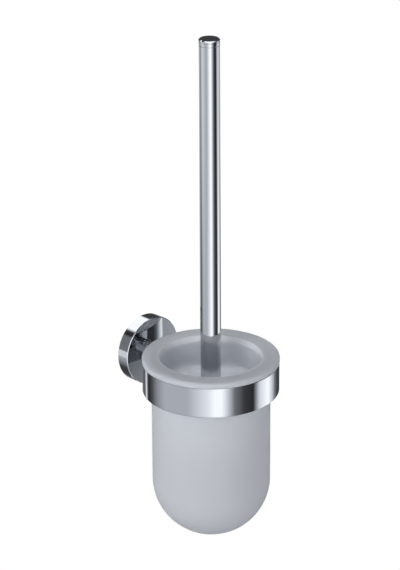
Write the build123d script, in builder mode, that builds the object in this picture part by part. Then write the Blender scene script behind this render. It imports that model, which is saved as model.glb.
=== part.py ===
from build123d import *
import os
from math import cos, floor, pi, radians, sin

os.makedirs("parts", exist_ok=True)

# Wall-mounted toilet brush holder, in millimetres. The origin is on the wall, at the middle of the wall
# plate's back. +Y points into the wall, +Z points up, and the ring's mid height is at Z = 0.

# Clearances
slip_fit = 0.15  # radial, between fixed pieces that slide together
thread_fit = 0.08  # radial, between a plain screw and its plain hole
seat_gap = 0.1  # between a loose piece and its seat
glass_clearance = 0.4  # radial, glass in its liner
bristle_clearance = 0.6  # bristle tips to the glass

# Wall rosette and wall plate
rosette_diameter = 51.5
rosette_depth = 9.8
rosette_front_wall = 2.5
rosette_side_wall = 2.5
rosette_chamfer = 0.45
plate_base = 2.0
plate_rim_wall = 3.0
screw_hole_diameter = 5.2
screw_head_diameter = 10.0
screw_head_room = 1.1

# Grub screw under the rosette
grub_diameter = 4.0
grub_length = 4.0
grub_recess = 0.4
grub_socket = 2.0
grub_socket_depth = 1.8

# Post and the bolt through it
post_diameter = 12.0
post_length = 11.9
bolt_diameter = 5.0
bolt_land = 0.6  # straight part of the countersunk hole
bolt_socket = 3.0
bolt_socket_depth = 1.5
bolt_tip = 0.6  # bolt past its nut
washer_width = 2.0
washer_thickness = 1.2
washer_split = 0.8
nut_across_flats = 8.0
nut_thickness = 2.7
nut_room = 1.5
pin_diameter = 1.6
pin_depth = 4.0  # in the post

# Ring and liner
ring_wall = 3.0
ring_height = 22.7
ring_edge_radius = 0.5
ring_lip_width = 1.4
ring_lip_height = 1.2
liner_wall = 2.85
liner_proud = 0.2

# Glass tumbler
glass_diameter = 87.2
glass_wall = 6.0
glass_depth = 141.6  # rim to the lowest point outside
flange_overhang = 0.3
flange_thickness = 4.05
rim_crown = 0.6
rim_outer_radius = 1.6
rim_under_radius = 1.0
rim_inner_radius = 2.5
neck_radius = 0.8

# Handle
handle_diameter = 15.0
handle_above_rim = 240.9
tube_wall = 1.0
tube_below_rim = 48.0
cap_height = 4.5
cap_overhang = 0.1
cap_chamfer = 0.7
cap_spigot_length = 12.0
plug_flange = 3.0
plug_length = 18.0
insert_wall = 1.3
thread_length = 10.0
stud_diameter = 8.0
stud_depth = 14.0  # in the brush core
seal_thickness = 1.5
seal_inset = 0.3

# Brush head
core_diameter = 16.0
core_neck = 10.0  # bare part above the bristles
backing_wall = 0.9
strand_side = 1.2
row_pitch = 4.2
strands_per_row = 30
tip_row_angle = 13.0

# Sizes that follow
rosette_bore = rosette_diameter - 2 * rosette_side_wall
rosette_pocket = rosette_depth - rosette_front_wall
plate_diameter = rosette_bore - 2 * slip_fit
plate_height = rosette_pocket - seat_gap
plate_inside = plate_diameter - 2 * plate_rim_wall
screw_spacing = plate_inside - screw_head_diameter - 2 * screw_head_room
bolt_hole = bolt_diameter + 2 * slip_fit
pin_hole = pin_diameter + 2 * thread_fit
pin_offset = (bolt_hole + post_diameter) / 4  # middle of the wall of the post
grub_hole = grub_diameter + 2 * thread_fit
grub_depth = plate_height / 2
grub_end = rosette_diameter / 2 - grub_recess

ring_bore = glass_diameter + 2 * (glass_clearance + liner_wall + slip_fit)
ring_diameter = ring_bore + 2 * ring_wall
reach = rosette_depth + post_length + ring_diameter / 2
ring_top = ring_height / 2
countersink_radius = bolt_hole / 2 + ring_wall - bolt_land
bolt_head_radius = countersink_radius - slip_fit
bolt_length = ring_wall + post_length + rosette_front_wall + washer_thickness + nut_thickness + bolt_tip

flange_under = ring_top + liner_proud + seat_gap
flange_radius = ring_diameter / 2 + flange_overhang
rim_top = flange_under + flange_thickness
rim_edge = rim_top - rim_crown
glass_radius = glass_diameter / 2
bore_radius = glass_radius - glass_wall
dome_height = rim_top - glass_depth + glass_radius

handle_top = rim_top + handle_above_rim
tube_top = handle_top - cap_height
tube_bottom = rim_top - tube_below_rim
tube_bore = handle_diameter - 2 * tube_wall
plug_bottom = tube_bottom - plug_flange
stud_top = plug_bottom + thread_length
insert_bore = stud_diameter + 2 * thread_fit
insert_diameter = insert_bore + 2 * insert_wall
core_top = plug_bottom - seal_thickness - 2 * seat_gap
core_radius = core_diameter / 2
backing_bore = core_radius + thread_fit
backing_radius = backing_bore + backing_wall
strand_root = backing_bore + backing_wall / 2
strand_length = bore_radius - bristle_clearance - strand_root
bristle_top = core_top - core_neck

# The wall pieces lie along -Y. The glass, ring and brush share one upright axis at Y = -reach.
front = Plane.XZ
cup_axis = Axis((0, -reach, 0), (0, 0, 1))
cup_section = Plane.XZ.offset(reach)


def cup_level(height):
    return Plane((0, -reach, height))


def towards_wall(distance):
    return Plane((0, -distance, 0), x_dir=(1, 0, 0), z_dir=(0, 1, 0))


# Die-cast plate on the wall, with two screw holes and a seat for the grub screw
with BuildPart() as wall_plate:
    with BuildSketch(front):
        Circle(plate_diameter / 2)
    extrude(amount=plate_height)
    with BuildSketch(front.offset(plate_base)):
        Circle(plate_inside / 2)
    extrude(amount=plate_height - plate_base, mode=Mode.SUBTRACT)
    with Locations(front.offset(plate_base)):
        Hole((nut_across_flats / cos(radians(30)) + 2 * nut_room) / 2)
        with GridLocations(screw_spacing, 0, 2, 1):
            Hole(screw_hole_diameter / 2)
    with BuildSketch(Plane((0, -grub_depth, grub_length + seat_gap - grub_end))):
        Circle(grub_hole / 2)
    extrude(amount=-plate_diameter / 2, mode=Mode.SUBTRACT)

# Chrome rose, a cup with a flat front that hides the wall plate
with BuildPart() as rosette:
    with BuildSketch(front):
        Circle(rosette_diameter / 2)
    extrude(amount=rosette_depth)
    chamfer(rosette.faces().sort_by(Axis.Y)[0].edges(), rosette_chamfer)
    with BuildSketch(front):
        Circle(rosette_bore / 2)
    extrude(amount=rosette_pocket, mode=Mode.SUBTRACT)
    with Locations(front.offset(rosette_depth)):
        Hole(bolt_hole / 2)
        with Locations((0, pin_offset)):
            Hole(pin_hole / 2)
    with BuildSketch(Plane((0, -grub_depth, 0))):
        Circle(grub_hole / 2)
    extrude(amount=-rosette_diameter, mode=Mode.SUBTRACT)

# Set screw with a hexagon socket, from below through the rosette into the plate's seat
with BuildPart() as grub_screw:
    with BuildSketch(Plane((0, -grub_depth, -grub_end))):
        Circle(grub_diameter / 2)
    extrude(amount=grub_length)
    chamfer(grub_screw.edges().sort_by(Axis.Z)[-1], grub_diameter / 10)
    with BuildSketch(Plane((0, -grub_depth, -grub_end))):
        RegularPolygon(grub_socket / 2, 6, major_radius=False)
    extrude(amount=grub_socket_depth, mode=Mode.SUBTRACT)

# Short post, flat on the rosette and hollowed to the ring's curve
with BuildPart() as support_post:
    with BuildSketch(front.offset(rosette_depth)):
        Circle(post_diameter / 2)
    extrude(amount=reach - rosette_depth)
    with BuildSketch(cup_level(-post_diameter)):
        Circle(ring_diameter / 2 + thread_fit)
    extrude(amount=2 * post_diameter, mode=Mode.SUBTRACT)
    with Locations(front.offset(rosette_depth)):
        Hole(bolt_hole / 2)
    with BuildSketch(front.offset(rosette_depth)):
        with Locations((0, pin_offset)):
            Circle(pin_hole / 2)
    extrude(amount=pin_depth + seat_gap, mode=Mode.SUBTRACT)

# Countersunk bolt from inside the ring, through the post into the rosette
with BuildPart() as clamp_bolt:
    with Locations(towards_wall(reach - ring_bore / 2)):
        Cylinder(bolt_diameter / 2, bolt_length, align=(Align.CENTER, Align.CENTER, Align.MIN))
        Cone(
            bolt_head_radius,
            bolt_diameter / 2,
            bolt_head_radius - bolt_diameter / 2,
            align=(Align.CENTER, Align.CENTER, Align.MIN),
        )
    with BuildSketch(towards_wall(reach - ring_bore / 2)):
        RegularPolygon(bolt_socket / 2, 6, major_radius=False)
    extrude(amount=bolt_socket_depth, mode=Mode.SUBTRACT)

# Split lock washer under the nut
with BuildPart() as lock_washer:
    with BuildSketch(towards_wall(rosette_pocket)):
        Circle(bolt_hole / 2 + washer_width)
        Circle(bolt_hole / 2, mode=Mode.SUBTRACT)
        with Locations((bolt_hole / 2 + washer_width, 0)):
            Rectangle(bolt_hole + washer_width, washer_split, mode=Mode.SUBTRACT)
    extrude(amount=washer_thickness)

# Thin hexagon nut inside the rosette
with BuildPart() as clamp_nut:
    with BuildSketch(towards_wall(rosette_pocket - washer_thickness)):
        RegularPolygon(nut_across_flats / 2, 6, major_radius=False)
        Circle(bolt_diameter / 2 + thread_fit, mode=Mode.SUBTRACT)
    extrude(amount=nut_thickness)

# Dowel that keeps the post from turning on the rosette
with BuildPart() as locating_pin:
    with BuildSketch(towards_wall(rosette_depth + pin_depth)):
        with Locations((0, -pin_offset)):
            Circle(pin_diameter / 2)
    extrude(amount=pin_depth + rosette_front_wall)

# Chrome band with an inner lip that carries the liner
with BuildPart() as glass_ring:
    with BuildSketch(cup_section) as ring_profile:
        with BuildLine():
            Polyline(
                (ring_diameter / 2, -ring_top),
                (ring_diameter / 2, ring_top),
                (ring_bore / 2, ring_top),
                (ring_bore / 2, ring_lip_height - ring_top),
                (ring_bore / 2 - ring_lip_width, ring_lip_height - ring_top),
                (ring_bore / 2 - ring_lip_width, -ring_top),
                close=True,
            )
        make_face()
        fillet(ring_profile.vertices().group_by(Axis.X)[-1], ring_edge_radius)
    revolve(axis=cup_axis)
    with Locations(Plane((0, ring_bore / 2 - reach, 0), x_dir=(1, 0, 0), z_dir=(0, -1, 0))):
        CounterSinkHole(bolt_hole / 2, countersink_radius, 2 * ring_wall, counter_sink_angle=90)

# Plastic sleeve in the ring, on which the flange of the glass rests
with BuildPart() as ring_liner:
    with BuildSketch(cup_section):
        with BuildLine():
            Polyline(
                (ring_bore / 2 - slip_fit, ring_lip_height - ring_top),
                (ring_bore / 2 - slip_fit, ring_top + liner_proud),
                (glass_radius + 2 * glass_clearance + neck_radius, ring_top + liner_proud),
                (glass_radius + glass_clearance, ring_top + liner_proud - glass_clearance - neck_radius),
                (glass_radius + glass_clearance, ring_lip_height - ring_top),
                close=True,
            )
        make_face()
    revolve(axis=cup_axis)

# Frosted glass tumbler: crowned flange, straight wall, hemispherical bottom
with BuildPart() as glass_tumbler:
    with BuildSketch(cup_section) as glass_profile:
        with BuildLine():
            CenterArc((0, dome_height), glass_radius, -90, 90)
            Polyline(
                (glass_radius, dome_height),
                (glass_radius, flange_under),
                (flange_radius, flange_under),
                (flange_radius, rim_edge),
            )
            ThreePointArc(
                (flange_radius, rim_edge), ((flange_radius + bore_radius) / 2, rim_top), (bore_radius, rim_edge)
            )
            Line((bore_radius, rim_edge), (bore_radius, dome_height))
            CenterArc((0, dome_height), bore_radius, 0, -90)
            Line((0, dome_height - bore_radius), (0, dome_height - glass_radius))
        make_face()
        edge_room = (rim_edge - flange_under) / 2
        upper = glass_profile.vertices().filter_by_position(Axis.Y, rim_edge, rim_edge + rim_crown)
        lower = glass_profile.vertices().filter_by_position(Axis.Y, flange_under, flange_under + rim_crown)
        fillet(upper.sort_by(Axis.X)[-1], min(rim_outer_radius, edge_room))
        fillet(upper.sort_by(Axis.X)[0], rim_inner_radius)
        fillet(lower.sort_by(Axis.X)[-1], min(rim_under_radius, edge_room / 2))
        fillet(lower.sort_by(Axis.X)[0], neck_radius)
    revolve(axis=cup_axis)

# Plastic core of the brush head, with a round end and a socket for the stud
with BuildPart() as brush_core:
    with BuildSketch(cup_section):
        with BuildLine():
            Polyline((0, core_top), (core_radius, core_top), (core_radius, dome_height))
            CenterArc((0, dome_height), core_radius, 0, -90)
            Line((0, dome_height - core_radius), (0, core_top))
        make_face()
    revolve(axis=cup_axis)
    with BuildSketch(cup_level(core_top)):
        Circle(stud_diameter / 2 + thread_fit)
    extrude(amount=-stud_depth - seat_gap, mode=Mode.SUBTRACT)


# Each bristle is a square strand that points straight out from the core, so that none cross.
def strand_row(height, drop, count, turn):
    planes = []
    for n in range(count):
        angle = 2 * pi * (n + turn) / count
        out = Vector(cos(angle) * cos(drop), sin(angle) * cos(drop), -sin(drop))
        root = Vector(0, -reach, height) + out * strand_root
        planes.append(Plane(root, x_dir=(-sin(angle), cos(angle), 0), z_dir=out))
    return planes


side_rows = floor((bristle_top - dome_height) / row_pitch)
side_strands = []
for row in range(side_rows):
    side_strands += strand_row(dome_height + (row + 0.5) * row_pitch, 0, strands_per_row, row % 2 / 2)

tip_rows = floor(90 / tip_row_angle)
tip_strands = strand_row(dome_height, radians(90), 1, 0)
for row in range(1, tip_rows + 1):
    drop = radians(90 - row * tip_row_angle)
    tip_strands += strand_row(dome_height, drop, floor(strands_per_row * cos(drop)), row % 2 / 2)

# Bristles round the core, on a thin sleeve of it
with BuildPart() as bristles_side:
    with BuildSketch(cup_level(dome_height)):
        Circle(backing_radius)
        Circle(backing_bore, mode=Mode.SUBTRACT)
    extrude(amount=side_rows * row_pitch)
    with Locations(*side_strands):
        Box(strand_side, strand_side, strand_length, align=(Align.CENTER, Align.CENTER, Align.MIN))

# Bristles over the end of the core, on a thin shell of it
with BuildPart() as bristles_tip:
    with BuildSketch(cup_section):
        with BuildLine():
            CenterArc((0, dome_height), backing_radius, 0, -90)
            Line((0, dome_height - backing_radius), (0, dome_height - backing_bore))
            CenterArc((0, dome_height), backing_bore, -90, 90)
            Line((backing_bore, dome_height), (backing_radius, dome_height))
        make_face()
    revolve(axis=cup_axis)
    with Locations(*tip_strands):
        Box(strand_side, strand_side, strand_length, align=(Align.CENTER, Align.CENTER, Align.MIN))

# Threaded stud of the brush head
with BuildPart() as thread_stud:
    with BuildSketch(cup_level(core_top - stud_depth)):
        Circle(stud_diameter / 2)
    extrude(amount=stud_top - core_top + stud_depth)
    chamfer(thread_stud.edges().sort_by(Axis.Z)[-1], stud_diameter / 10)

# Rubber washer between handle and brush head
with BuildPart() as sealing_washer:
    with BuildSketch(cup_level(plug_bottom - seat_gap - seal_thickness)):
        Circle(handle_diameter / 2 - seal_inset)
        Circle(stud_diameter / 2 + seal_inset, mode=Mode.SUBTRACT)
    extrude(amount=seal_thickness)

# Brass threaded insert in the plug
with BuildPart() as thread_insert:
    with BuildSketch(cup_level(plug_bottom)):
        Circle(insert_diameter / 2)
        Circle(insert_bore / 2, mode=Mode.SUBTRACT)
    extrude(amount=thread_length)

# Plastic plug in the lower end of the tube
with BuildPart() as handle_plug:
    with BuildSketch(cup_level(plug_bottom)):
        Circle(handle_diameter / 2)
    extrude(amount=plug_flange)
    with BuildSketch(cup_level(tube_bottom)):
        Circle(tube_bore / 2 - thread_fit)
    extrude(amount=plug_length)
    with BuildSketch(cup_level(plug_bottom)):
        Circle(insert_diameter / 2 + thread_fit)
    extrude(amount=thread_length + seat_gap, mode=Mode.SUBTRACT)

# Chrome tube of the handle
with BuildPart() as handle_tube:
    with BuildSketch(cup_level(tube_bottom)):
        Circle(handle_diameter / 2)
        Circle(tube_bore / 2, mode=Mode.SUBTRACT)
    extrude(amount=tube_top - tube_bottom)

# Chrome end cap, pressed into the top of the tube
with BuildPart() as handle_cap:
    with BuildSketch(cup_level(tube_top)):
        Circle(handle_diameter / 2 + cap_overhang)
    extrude(amount=cap_height)
    chamfer(handle_cap.edges().sort_by(Axis.Z)[-1], cap_chamfer)
    with BuildSketch(cup_level(tube_top)):
        Circle(tube_bore / 2 - thread_fit)
    extrude(amount=-cap_spigot_length)

pieces = {
    "wall_plate": wall_plate,
    "rosette": rosette,
    "grub_screw": grub_screw,
    "support_post": support_post,
    "clamp_bolt": clamp_bolt,
    "lock_washer": lock_washer,
    "clamp_nut": clamp_nut,
    "locating_pin": locating_pin,
    "glass_ring": glass_ring,
    "ring_liner": ring_liner,
    "glass_tumbler": glass_tumbler,
    "brush_core": brush_core,
    "bristles_side": bristles_side,
    "bristles_tip": bristles_tip,
    "thread_stud": thread_stud,
    "sealing_washer": sealing_washer,
    "thread_insert": thread_insert,
    "handle_plug": handle_plug,
    "handle_tube": handle_tube,
    "handle_cap": handle_cap,
}
for name, piece in pieces.items():
    piece.part.label = name
    export_step(piece.part, "parts/" + name + ".step")
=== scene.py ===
import math

import bmesh
import bpy
from mathutils import Matrix, Vector


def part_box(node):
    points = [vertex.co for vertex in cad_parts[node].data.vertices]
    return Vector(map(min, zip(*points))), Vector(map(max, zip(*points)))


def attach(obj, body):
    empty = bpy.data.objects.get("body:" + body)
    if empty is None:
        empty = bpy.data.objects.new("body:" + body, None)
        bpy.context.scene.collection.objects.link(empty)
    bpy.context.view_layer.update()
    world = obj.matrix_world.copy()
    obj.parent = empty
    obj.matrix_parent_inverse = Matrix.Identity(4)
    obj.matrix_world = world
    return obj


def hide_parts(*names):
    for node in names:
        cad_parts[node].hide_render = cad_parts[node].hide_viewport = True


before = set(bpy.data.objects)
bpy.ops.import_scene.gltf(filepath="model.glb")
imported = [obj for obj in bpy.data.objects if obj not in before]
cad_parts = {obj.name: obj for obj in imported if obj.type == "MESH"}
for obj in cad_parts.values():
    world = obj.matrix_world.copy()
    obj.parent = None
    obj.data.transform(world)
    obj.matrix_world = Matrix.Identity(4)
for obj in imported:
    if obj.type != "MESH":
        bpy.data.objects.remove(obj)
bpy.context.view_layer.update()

# Wall plate: a zinc die casting that two screws hold flat on the wall.
# It stays hidden under the rosette, so it keeps the dull skin of the mould.


def linear(code):
    channels = [int(code[i:i + 2], 16) / 255 for i in (1, 3, 5)]
    return [c / 12.92 if c <= 0.04045 else ((c + 0.055) / 1.055) ** 2.4 for c in channels] + [1.0]


def add_node(tree, kind, links=None, sockets=None, **settings):
    node = tree.nodes.new(kind)
    for key, value in settings.items():
        setattr(node, key, value)
    for key, value in (sockets or {}).items():
        node.inputs[key].default_value = value
    for key, source in (links or {}).items():
        tree.links.new(source, node.inputs[key])
    return node


def new_finish(name, code, **sockets):
    material = bpy.data.materials.new(name)
    material.use_nodes = True
    tree = material.node_tree
    shader = tree.nodes["Principled BSDF"]
    shader.inputs["Base Color"].default_value = linear(code)
    for key, value in sockets.items():
        shader.inputs[key.replace("_", " ")].default_value = value
    coords = add_node(tree, "ShaderNodeTexCoord").outputs["Object"]
    return material, tree, shader, coords


def dress(node, finish):
    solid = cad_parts[node]
    solid.data.materials.clear()
    solid.data.materials.append(finish)


# Die-cast zinc: a grey, slightly mottled skin with a soft broken shine.
zinc, tree, shader, coords = new_finish("die_cast_zinc", "#A6A8AA", Metallic=1.0, Roughness=0.45)
casting_grain = 0.0012
mottle = add_node(tree, "ShaderNodeTexNoise", {"Vector": coords}, {"Scale": 1 / casting_grain, "Detail": 4.0})
tone = add_node(
    tree, "ShaderNodeMix", {"Factor": mottle.outputs["Fac"]},
    {"A": linear("#98999C"), "B": linear("#B6B8BA")}, data_type="RGBA",
)
relief = add_node(
    tree, "ShaderNodeBump", {"Height": mottle.outputs["Fac"]}, {"Strength": 0.25, "Distance": 0.0001}
)
tree.links.new(tone.outputs["Result"], shader.inputs["Base Color"])
tree.links.new(relief.outputs["Normal"], shader.inputs["Normal"])
dress("wall_plate", zinc)

# Rosette and support post: turned brass, polished and chrome plated. A grub screw
# holds the rosette on the wall plate, and the post stands flat on its front.

# Bright chrome plate: a clear, cold mirror, with a trace of haze where it was wiped.
chrome, tree, shader, coords = new_finish("bright_chrome_plate", "#C5C7CA", Metallic=1.0)
wipe_mark = 0.014
haze = add_node(tree, "ShaderNodeTexNoise", {"Vector": coords}, {"Scale": 1 / wipe_mark, "Detail": 3.0})
polish = add_node(
    tree, "ShaderNodeMapRange", {"Value": haze.outputs["Fac"]},
    {"From Min": 0.3, "From Max": 0.7, "To Min": 0.03, "To Max": 0.065},
)
tree.links.new(polish.outputs["Result"], shader.inputs["Roughness"])
dress("rosette", chrome)
dress("support_post", chrome)

# Screws, washer, nut and dowel: plain steel parts, zinc plated against rust.
# They clamp ring, post and rosette together from inside and are hidden in use.

# Zinc-plated steel: a bluish grey with a soft shine and faint cloudy patches.
plated_steel, tree, shader, coords = new_finish("zinc_plated_steel", "#B9BDC2", Metallic=1.0)
plating_cloud = 0.002
cloud = add_node(tree, "ShaderNodeTexNoise", {"Vector": coords}, {"Scale": 1 / plating_cloud, "Detail": 3.0})
sheen = add_node(
    tree, "ShaderNodeMapRange", {"Value": cloud.outputs["Fac"]},
    {"From Min": 0.3, "From Max": 0.7, "To Min": 0.22, "To Max": 0.38},
)
tree.links.new(sheen.outputs["Result"], shader.inputs["Roughness"])
for fastener in ("grub_screw", "clamp_bolt", "lock_washer", "clamp_nut", "locating_pin"):
    dress(fastener, plated_steel)

# Glass ring: a flat band of brass, polished and chrome plated. One bolt through its back
# holds it on the end of the post.
dress("glass_ring", chrome)

# Ring liner: a moulded plastic sleeve, pushed into the ring from above. The flange of the
# glass rests on it, so that glass and chrome never touch.

# Moulded polyethylene: milky white and waxy, with faint flow marks.
waxy, tree, shader, coords = new_finish(
    "moulded_polyethylene", "#E4E6E8", Roughness=0.42, IOR=1.51,
    Subsurface_Weight=0.3, Subsurface_Scale=0.002, Subsurface_Radius=(1, 1, 1),
)
flow_mark = 0.006
flow = add_node(tree, "ShaderNodeTexNoise", {"Vector": coords}, {"Scale": 1 / flow_mark, "Detail": 2.0})
relief = add_node(
    tree, "ShaderNodeBump", {"Height": flow.outputs["Fac"]}, {"Strength": 0.08, "Distance": 0.0002}
)
tree.links.new(relief.outputs["Normal"], shader.inputs["Normal"])
dress("ring_liner", waxy)

# Glass tumbler: pressed glass with a round bottom, ground round at the inner edge of
# its rim and then etched to satin. Its flange hangs on the liner, so it lifts straight out.
axis_y = -0.0717
rim_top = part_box("glass_tumbler")[1].z
ground_radius = 0.0398
ground_depth = 0.0045
ground_fade = 0.002  # over this depth the ground edge turns into plain wall
ground_border = 0.0006  # half the width of its border on the flat rim
wall_clearness = 0.55
ground_clearness = 0.05

# Acid-etched glass: milky, with a soft glow and no clear picture through it. The ground
# edge is whiter than the rest, because less light goes through it.
satin, tree, shader, coords = new_finish("acid_etched_glass", "#F2F5FA", IOR=1.5)
etch_grain = 0.0009  # the real grain is under 0.1 mm and is drawn coarser so that it shows
grain = add_node(tree, "ShaderNodeTexNoise", {"Vector": coords}, {"Scale": 1 / etch_grain, "Detail": 2.0})
etch_cloud = 0.025
veil = add_node(tree, "ShaderNodeTexNoise", {"Vector": coords}, {"Scale": 1 / etch_cloud, "Detail": 3.0})
frost = add_node(
    tree, "ShaderNodeMapRange", {"Value": veil.outputs["Fac"]},
    {"From Min": 0.3, "From Max": 0.7, "To Min": 0.62, "To Max": 0.7},
)
relief = add_node(
    tree, "ShaderNodeBump", {"Height": grain.outputs["Fac"]}, {"Strength": 0.1, "Distance": 0.00005}
)
flattened = add_node(
    tree, "ShaderNodeMapping", {"Vector": coords}, {"Location": (0, -axis_y, 0), "Scale": (1, 1, 0)}
)
from_axis = add_node(tree, "ShaderNodeVectorMath", {0: flattened.outputs["Vector"]}, operation="LENGTH")
height = add_node(tree, "ShaderNodeSeparateXYZ", {"Vector": coords}).outputs["Z"]
below_edge = add_node(
    tree, "ShaderNodeMapRange", {"Value": height},
    {
        "From Min": rim_top - ground_depth - ground_fade, "From Max": rim_top - ground_depth,
        "To Min": wall_clearness, "To Max": ground_clearness,
    },
)
clearness = add_node(
    tree, "ShaderNodeMapRange", {"Value": from_axis.outputs["Value"], "To Min": below_edge.outputs["Result"]},
    {
        "From Min": ground_radius - ground_border, "From Max": ground_radius + ground_border,
        "To Max": wall_clearness,
    },
)
tree.links.new(frost.outputs["Result"], shader.inputs["Roughness"])
tree.links.new(relief.outputs["Normal"], shader.inputs["Normal"])
tree.links.new(clearness.outputs["Result"], shader.inputs["Transmission Weight"])
dress("glass_tumbler", satin)

# Brush core: a moulded plastic body with a bare neck for the stud and a round end.
# The part below the neck is thicker, because the tufts are punched into it.
core_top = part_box("brush_core")[1].z
core_radius = 0.008
sleeve_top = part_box("bristles_side")[1].z
sleeve_radius = 0.00898
ball_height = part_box("bristles_side")[0].z
stud_hole_radius = 0.00408
stud_hole_depth = 0.0141
edge_radius = 0.0006


def draw(outline, closed=False):
    bm = bmesh.new()
    corners = [bm.verts.new((radius, axis_y, height)) for radius, height in outline]
    for corner, following in zip(corners, corners[1:] + corners[:1] * closed):
        bm.edges.new((corner, following))
    return bm


def turn(bm, steps):
    bmesh.ops.spin(
        bm, geom=bm.verts[:] + bm.edges[:], cent=(0, axis_y, 0), axis=(0, 0, 1),
        angle=math.tau, steps=steps, use_merge=True,
    )
    bmesh.ops.remove_doubles(bm, verts=bm.verts, dist=1e-6)
    bmesh.ops.recalc_face_normals(bm, faces=bm.faces)


def ease_edge(bm, radius, height, size, segments=3):
    circle = [
        edge for edge in bm.edges
        if all(
            abs(math.hypot(v.co.x, v.co.y - axis_y) - radius) < 1e-5 and abs(v.co.z - height) < 1e-5
            for v in edge.verts
        )
    ]
    bmesh.ops.bevel(
        bm, geom=circle, offset=size, offset_type="OFFSET", segments=segments, profile=0.5,
        affect="EDGES", material=-1,
    )


def make_piece(name, bm, finish, sharp=40):
    mesh = bpy.data.meshes.new(name)
    bm.to_mesh(mesh)
    bm.free()
    mesh.materials.append(finish)
    mesh.shade_smooth()
    mesh.set_sharp_from_angle(angle=math.radians(sharp))
    piece = bpy.data.objects.new(name, mesh)
    bpy.context.scene.collection.objects.link(piece)
    return piece


core = draw([
    (0, core_top - stud_hole_depth), (stud_hole_radius, core_top - stud_hole_depth),
    (stud_hole_radius, core_top), (core_radius, core_top), (core_radius, sleeve_top),
    (sleeve_radius, sleeve_top), (sleeve_radius, ball_height),
])
core.verts.ensure_lookup_table()
bmesh.ops.spin(
    core, geom=[core.verts[-1]], cent=(0, axis_y, ball_height), axis=(0, 1, 0), angle=math.pi / 2, steps=12
)
turn(core, 64)
ease_edge(core, core_radius, core_top, edge_radius)
ease_edge(core, sleeve_radius, sleeve_top, edge_radius)

# Moulded polypropylene: clean white with a soft gloss and a little light inside it.
white_plastic, tree, shader, coords = new_finish(
    "moulded_polypropylene", "#ECEDEC", Roughness=0.35, IOR=1.49,
    Subsurface_Weight=0.2, Subsurface_Scale=0.0015, Subsurface_Radius=(1, 1, 1),
)
mould_skin = 0.003
skin = add_node(tree, "ShaderNodeTexNoise", {"Vector": coords}, {"Scale": 1 / mould_skin, "Detail": 3.0})
gloss = add_node(
    tree, "ShaderNodeMapRange", {"Value": skin.outputs["Fac"]},
    {"From Min": 0.3, "From Max": 0.7, "To Min": 0.3, "To Max": 0.42},
)
relief = add_node(
    tree, "ShaderNodeBump", {"Height": skin.outputs["Fac"]}, {"Strength": 0.06, "Distance": 0.0002}
)
tree.links.new(gloss.outputs["Result"], shader.inputs["Roughness"])
tree.links.new(relief.outputs["Normal"], shader.inputs["Normal"])
core = make_piece("brush_core_body", core, white_plastic)
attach(core, "brush_head")
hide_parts("brush_core")

# Bristles: tufts of stiff plastic filament that stand straight out from the core,
# in staggered rows round its side and in rings over its round end.
strand_root = 0.00853
strand_length = 0.02847
row_pitch = 0.0042
side_rows = 8
tip_rows = 6
tufts_per_row = 30
tip_row_angle = 13
filament_radius = 0.00028
filament_taper = 0.8
trim_step = 0.012  # filaments of a tuft differ in length by this share, in seven steps
filament_pitch = 0.00038
tuft_spread = 5.9
golden_angle = math.pi * (3 - math.sqrt(5))

tuft = bmesh.new()
for ring, count in enumerate((1, 6, 12)):
    for n in range(count):
        around = Matrix.Rotation(math.tau * n / count + ring, 4, "Z")
        reach = strand_length * (1 - trim_step * ((n * 5 + ring * 3) % 7))
        lean = math.atan(ring * filament_pitch * (tuft_spread - 1) / strand_length)
        stand = (
            around @ Matrix.Translation((ring * filament_pitch, 0, 0))
            @ Matrix.Rotation(lean, 4, "Y") @ Matrix.Translation((0, 0, reach / 2))
        )
        bmesh.ops.create_cone(
            tuft, cap_ends=True, segments=3, radius1=filament_radius,
            radius2=filament_radius * filament_taper, depth=reach, matrix=stand,
        )
tuft_mesh = bpy.data.meshes.new("tuft")
tuft.to_mesh(tuft_mesh)
tuft.free()


def plant_row(bm, height, drop, count, offset):
    for n in range(count):
        angle = math.tau * (n + offset) / count
        out = Vector((math.cos(angle) * math.cos(drop), math.sin(angle) * math.cos(drop), -math.sin(drop)))
        root = Vector((0, axis_y, height)) + out * strand_root
        planted = tuft_mesh.copy()
        planted.transform(
            Matrix.Translation(root) @ out.to_track_quat("Z", "Y").to_matrix().to_4x4()
            @ Matrix.Rotation(golden_angle * len(bm.faces), 4, "Z")
        )
        bm.from_mesh(planted)
        bpy.data.meshes.remove(planted)


side_tufts = bmesh.new()
for row in range(side_rows):
    plant_row(side_tufts, ball_height + (row + 0.5) * row_pitch, 0, tufts_per_row, row % 2 / 2)
tip_tufts = bmesh.new()
plant_row(tip_tufts, ball_height, math.pi / 2, 1, 0)
for row in range(1, tip_rows + 1):
    drop = math.radians(90 - row * tip_row_angle)
    plant_row(tip_tufts, ball_height, drop, math.floor(tufts_per_row * math.cos(drop)), row % 2 / 2)

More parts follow.
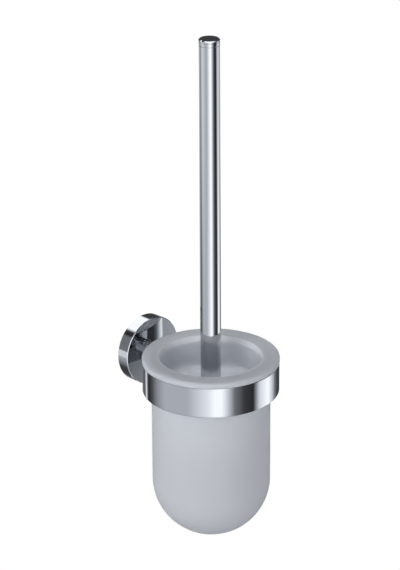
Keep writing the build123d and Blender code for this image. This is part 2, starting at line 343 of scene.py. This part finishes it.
# Drawn polypropylene filament: white and silky, with painted shade that darkens it down towards the roots,
# deep among the tufts. Light goes through it from strand to strand, so the tufts are drawn without a shadow
# of their own.
filament, tree, shader, coords = new_finish(
    "drawn_polypropylene_filament", "#F0F0F0", Roughness=0.4, IOR=1.49
)
centred = add_node(tree, "ShaderNodeMapping", {"Vector": coords}, {"Location": (0, -axis_y, -ball_height)})
depth = add_node(tree, "ShaderNodeVectorMath", {0: centred.outputs["Vector"]}, operation="LENGTH")
painted_root_shade = add_node(
    tree, "ShaderNodeMapRange", {"Value": depth.outputs["Value"]},
    {"From Min": strand_root, "From Max": strand_root + strand_length},
)
# Painted shade: the filament colour goes from a darker grey at the roots to white at the tips.
tone = add_node(
    tree, "ShaderNodeMix", {"Factor": painted_root_shade.outputs["Result"]},
    {"A": linear("#DADADA"), "B": linear("#F2F2F2")}, data_type="RGBA",
)
tree.links.new(tone.outputs["Result"], shader.inputs["Base Color"])
for name, bm, node in (
    ("tufts_side", side_tufts, "bristles_side"),
    ("tufts_tip", tip_tufts, "bristles_tip"),
):
    tufts = make_piece(name, bm, filament, sharp=80)
    tufts.visible_shadow = False
    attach(tufts, "brush_head")
    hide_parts(node)

# Threaded stud: a steel rod with a rolled metric thread, moulded into the brush core.
# The handle screws onto its upper end.
stud_low, stud_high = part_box("thread_stud")
thread_pitch = 0.00125
crest_radius = 0.004
valley_radius = crest_radius - 0.61 * thread_pitch
crest_start, crest_end = 0.43 * thread_pitch, 0.57 * thread_pitch
steps_per_turn = 24
turns = math.ceil((stud_high.z - stud_low.z) / thread_pitch) + 2
lead_in = 0.0008
lead_in_taper = 0.25
start = stud_low.z - thread_pitch
stud = draw([
    (valley_radius, start), (crest_radius, start + crest_start), (crest_radius, start + crest_end),
    (valley_radius, start + thread_pitch),
])
bmesh.ops.spin(
    stud, geom=stud.verts[:] + stud.edges[:], cent=(0, axis_y, 0), axis=(0, 0, 1), angle=math.tau * turns,
    steps=steps_per_turn * turns, dvec=(0, 0, thread_pitch / steps_per_turn),
)
bmesh.ops.remove_doubles(stud, verts=stud.verts, dist=1e-6)
for height, facing in ((stud_low.z, -1), (stud_high.z, 1)):
    bmesh.ops.bisect_plane(
        stud, geom=stud.verts[:] + stud.edges[:] + stud.faces[:], plane_co=(0, axis_y, height),
        plane_no=(0, 0, facing), clear_outer=True,
    )
bmesh.ops.holes_fill(stud, edges=[edge for edge in stud.edges if edge.is_boundary])
bmesh.ops.recalc_face_normals(stud, faces=stud.faces)
for v in stud.verts:
    past = v.co.z - (stud_high.z - lead_in)
    if past > 0:
        narrowing = 1 - lead_in_taper * past / lead_in
        v.co.x *= narrowing
        v.co.y = axis_y + (v.co.y - axis_y) * narrowing
bmesh.ops.triangulate(stud, faces=[face for face in stud.faces if len(face.verts) > 4])
stud = make_piece("thread_stud_rolled", stud, plated_steel, sharp=30)
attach(stud, "brush_head")
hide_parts("thread_stud")

# Sealing washer: a ring cut from rubber sheet. It lies loose between the handle and the
# brush head, and the thread squeezes it tight.

# Cut rubber: matt black, with a fine dusty grain.
rubber, tree, shader, coords = new_finish("cut_sheet_rubber", "#232324", Roughness=0.75, IOR=1.52)
dust_grain = 0.0006
dust = add_node(tree, "ShaderNodeTexNoise", {"Vector": coords}, {"Scale": 1 / dust_grain, "Detail": 4.0})
tone = add_node(
    tree, "ShaderNodeMix", {"Factor": dust.outputs["Fac"]},
    {"A": linear("#1C1C1D"), "B": linear("#303032")}, data_type="RGBA",
)
relief = add_node(
    tree, "ShaderNodeBump", {"Height": dust.outputs["Fac"]}, {"Strength": 0.3, "Distance": 0.0001}
)
tree.links.new(tone.outputs["Result"], shader.inputs["Base Color"])
tree.links.new(relief.outputs["Normal"], shader.inputs["Normal"])
dress("sealing_washer", rubber)

# Thread insert: a bush turned from brass, pressed into the plug at the foot of the handle.
# The stud of the brush head screws into it.

# Turned brass: warm yellow metal, with fine rings left by the lathe tool.
brass, tree, shader, coords = new_finish("turned_brass", "#D2B26A", Metallic=1.0, Roughness=0.28)
tool_mark = 0.0004
wave_length = 0.314  # of the wave texture at a scale of 1
rings = add_node(
    tree, "ShaderNodeTexWave", {"Vector": coords},
    {"Scale": wave_length / tool_mark, "Distortion": 0.4}, bands_direction="Z",
)
relief = add_node(
    tree, "ShaderNodeBump", {"Height": rings.outputs["Fac"]}, {"Strength": 0.2, "Distance": 0.00005}
)
tree.links.new(relief.outputs["Normal"], shader.inputs["Normal"])
dress("thread_insert", brass)

# Handle plug: moulded in the same white plastic as the brush core and pressed into the
# lower end of the tube.
dress("handle_plug", white_plastic)

# Handle tube: a length of drawn brass tube, deburred at both ends, then polished and
# chrome plated. The plug closes its foot and the cap its top.
tube_low, tube_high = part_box("handle_tube")
tube_radius = 0.0075
tube_bore = 0.0065
deburr = 0.0002
tube = draw([
    (tube_radius, tube_low.z), (tube_radius, tube_high.z), (tube_bore, tube_high.z), (tube_bore, tube_low.z),
], closed=True)
turn(tube, 96)
for height in (tube_low.z, tube_high.z):
    ease_edge(tube, tube_radius, height, deburr, segments=2)
tube = make_piece("handle_tube_drawn", tube, chrome, sharp=20)
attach(tube, "handle")
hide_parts("handle_tube")

# Handle cap: a turned button, chrome plated, with a chamfered top and one fine groove.
# Its spigot is pressed into the top of the tube.
cap_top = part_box("handle_cap")[1].z
cap_radius = 0.0076
cap_chamfer = 0.0007
spigot_radius = 0.00642
spigot_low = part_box("handle_cap")[0].z
groove_height = cap_top - 0.0018
groove_width = 0.00035
groove_depth = 0.00025
cap = draw([
    (0, cap_top), (cap_radius - cap_chamfer, cap_top), (cap_radius, cap_top - cap_chamfer),
    (cap_radius, groove_height + groove_width / 2), (cap_radius - groove_depth, groove_height),
    (cap_radius, groove_height - groove_width / 2), (cap_radius, tube_high.z), (spigot_radius, tube_high.z),
    (spigot_radius, spigot_low), (0, spigot_low),
])
turn(cap, 96)
ease_edge(cap, cap_radius, tube_high.z, deburr, segments=2)
cap = make_piece("handle_cap_turned", cap, chrome, sharp=20)
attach(cap, "handle")
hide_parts("handle_cap")

# Studio: a white paper floor well below the holder, even light from all round, one softbox
# at the left front and the camera of the picture. The chrome mirrors grey and white cards
# that stand round the set.
floor_depth = 2.4
floor_reach = 4.0
floor_mesh = bpy.data.meshes.new("floor")
bm = bmesh.new()
bmesh.ops.create_grid(bm, x_segments=1, y_segments=1, size=floor_reach)
bmesh.ops.translate(bm, verts=bm.verts, vec=(0, 0, -floor_depth))
bm.to_mesh(floor_mesh)
bm.free()
floor = bpy.data.objects.new("floor", floor_mesh)
bpy.context.scene.collection.objects.link(floor)
floor.visible_glossy = False

# White paper: matt and even, and plain white where the camera or the glass looks at it.
paper = bpy.data.materials.new("white_paper")
paper.use_nodes = True
tree = paper.node_tree


def show_white(tree, path, otherwise, white_shader):
    seen = add_node(
        tree, "ShaderNodeMath",
        {0: path.outputs["Is Camera Ray"], 1: path.outputs["Is Transmission Ray"]}, operation="MAXIMUM",
    )
    return add_node(
        tree, "ShaderNodeMixShader", {0: seen.outputs["Value"], 1: otherwise, 2: white_shader}
    )


path = add_node(tree, "ShaderNodeLightPath")
plain = add_node(tree, "ShaderNodeEmission")
mixed = show_white(
    tree, path, tree.nodes["Principled BSDF"].outputs["BSDF"], plain.outputs["Emission"]
)
tree.links.new(mixed.outputs["Shader"], tree.nodes["Material Output"].inputs["Surface"])
floor_mesh.materials.append(paper)

camera_bearing = 134.455
card_strength = 1.7  # a lit card is brighter than the white background
fill_strength = 0.66

world = bpy.data.worlds.new("studio")
bpy.context.scene.world = world
world.use_nodes = True
tree = world.node_tree
direction = add_node(tree, "ShaderNodeTexCoord").outputs["Generated"]
from_camera = add_node(
    tree, "ShaderNodeMapping", {"Vector": direction}, {"Rotation": (0, 0, math.radians(camera_bearing))}
)
bearing = add_node(
    tree, "ShaderNodeTexGradient", {"Vector": from_camera.outputs["Vector"]}, gradient_type="RADIAL"
).outputs["Fac"]
height = add_node(tree, "ShaderNodeSeparateXYZ", {"Vector": direction}).outputs["Z"]


def stand_cards(edges):
    ramp = add_node(tree, "ShaderNodeValToRGB", {"Fac": bearing})
    marks = ramp.color_ramp.elements
    marks.remove(marks[1])
    for degrees, tone in edges:
        place = 0.5 + degrees / 360
        mark = marks.new(place) if place else marks[0]
        mark.color = linear(tone)
    return ramp.outputs["Color"]


def rise(low, high):
    low, high = (math.sin(math.radians(v)) for v in (low, high))
    return add_node(
        tree, "ShaderNodeMapRange", {"Value": height}, {"From Min": low, "From Max": high},
        interpolation_type="SMOOTHSTEP",
    ).outputs["Result"]


# The cards go round the set in storeys, from the floor up. An edge is a bearing in degrees
# from the camera, positive to its right, and the tone runs evenly from one edge to the next.
# Only glossy rays meet the cards. The front of the rosette looks just above the ones that
# the ring mirrors, so front_cards differ from low_cards at the right.
black, dark, slate, grey, mid = "#28282A", "#38383A", "#4C4D50", "#6C6D71", "#86888D"
soft, pale, light, white = "#A8ABB0", "#C8CACF", "#E0E2E7", "#FBFEFF"
floor_cards = [
    (-180, mid), (-150, dark), (-110, dark), (-84, grey), (-30, grey), (0, soft), (20, pale), (45, grey),
    (68, black), (80, black), (92, mid), (112, light), (145, dark), (180, mid),
]
low_cards = [
    (-180, grey), (-146, slate), (-142, pale), (-138, pale), (-134, slate), (-128, black), (-116, slate),
    (-102, mid), (-84, soft), (-40, soft), (-6, light), (6, white), (18, white), (28, pale), (40, grey),
    (58, dark), (76, black), (82, mid), (88, pale), (95, light), (112, white), (124, pale), (136, grey),
    (148, dark),
]
front_cards = [edge for edge in low_cards if not 70 < edge[0] < 100]
front_cards += [(84, black), (86, grey), (87, grey), (89, soft), (91, light)]
handle_cards = [
    (-180, light), (-140, soft), (-114, mid), (-96, soft), (-92, pale), (-72, pale), (-44, soft), (-27, soft),
    (4, white), (17, white), (26, pale), (42, grey), (57, black), (76, black), (95, pale), (110, pale),
    (134, soft), (150, mid), (180, mid),
]
eye_cards = [
    (-180, pale), (-64, pale), (-44, soft), (-20, soft), (4, white), (20, white), (44, grey), (58, black),
    (100, dark), (118, pale), (150, pale), (180, grey),
]
high_cards = [
    (-180, dark), (-106, dark), (-98, grey), (-88, grey), (-80, soft), (-44, soft), (-8, light), (18, white),
    (40, grey), (72, black), (110, dark), (180, dark),
]
ceiling_cards = [
    (-180, white), (-116, white), (-108, dark), (-100, black), (-90, grey), (-30, grey), (-10, light),
    (10, light), (30, dark), (70, dark), (90, soft), (110, dark), (150, mid), (180, white),
]
room = stand_cards(floor_cards)
for low, high, cards in (
    (-50, -24, low_cards), (-24.75, -24.5, front_cards), (-24, -18, handle_cards), (-18, -9, eye_cards),
    (-6, -4, high_cards), (28, 34, ceiling_cards), (55, 62, [(-180, white)]),
):
    room = add_node(
        tree, "ShaderNodeMix", {"Factor": rise(low, high), "A": room, "B": stand_cards(cards)},
        data_type="RGBA",
    ).outputs["Result"]

mirrored = add_node(tree, "ShaderNodeBackground", {"Color": room}, {"Strength": card_strength})

# The fill is brightest level with the set, and falls off towards the floor and the ceiling.
below = add_node(
    tree, "ShaderNodeMix", {"Factor": rise(-50, 0)},
    {"A": linear("#606060"), "B": linear("#FFFFFF")}, data_type="RGBA",
)
all_round = add_node(
    tree, "ShaderNodeMix", {"Factor": rise(0, 70), "A": below.outputs["Result"]},
    {"B": linear("#686868")}, data_type="RGBA",
)
fill = add_node(
    tree, "ShaderNodeBackground", {"Color": all_round.outputs["Result"]}, {"Strength": fill_strength}
)
backdrop = tree.nodes["Background"]
backdrop.inputs["Color"].default_value = (1, 1, 1, 1)
path = add_node(tree, "ShaderNodeLightPath")
lit = add_node(
    tree, "ShaderNodeMixShader",
    {0: path.outputs["Is Glossy Ray"], 1: fill.outputs["Background"], 2: mirrored.outputs["Background"]},
)
mixed = show_white(tree, path, lit.outputs["Shader"], backdrop.outputs["Background"])
tree.links.new(mixed.outputs["Shader"], tree.nodes["World Output"].inputs["Surface"])

key_data = bpy.data.lights.new("key_softbox", "AREA")
key_data.shape = "SQUARE"
key_data.size = 0.9
key_data.energy = 14.0
key = bpy.data.objects.new("key_softbox", key_data)
key.location = (-1.45, -0.56, 0.55)
key.rotation_euler = (Vector((0, axis_y, 0)) - Vector(key.location)).to_track_quat("-Z", "Y").to_euler()
key.visible_glossy = False
bpy.context.scene.collection.objects.link(key)

camera_data = bpy.data.cameras.new("camera")
camera_data.lens = 175.32
camera_data.sensor_width = 36.0
camera_data.clip_end = 20.0
camera = bpy.data.objects.new("camera", camera_data)
camera.location = (-1.2915, -1.3880, 0.8450)
camera.rotation_euler = [math.radians(a) for a in (67.2297, 0.3437, -44.366)]
bpy.context.scene.collection.objects.link(camera)
bpy.context.scene.camera = camera
bpy.context.scene.view_settings.view_transform = "Standard"
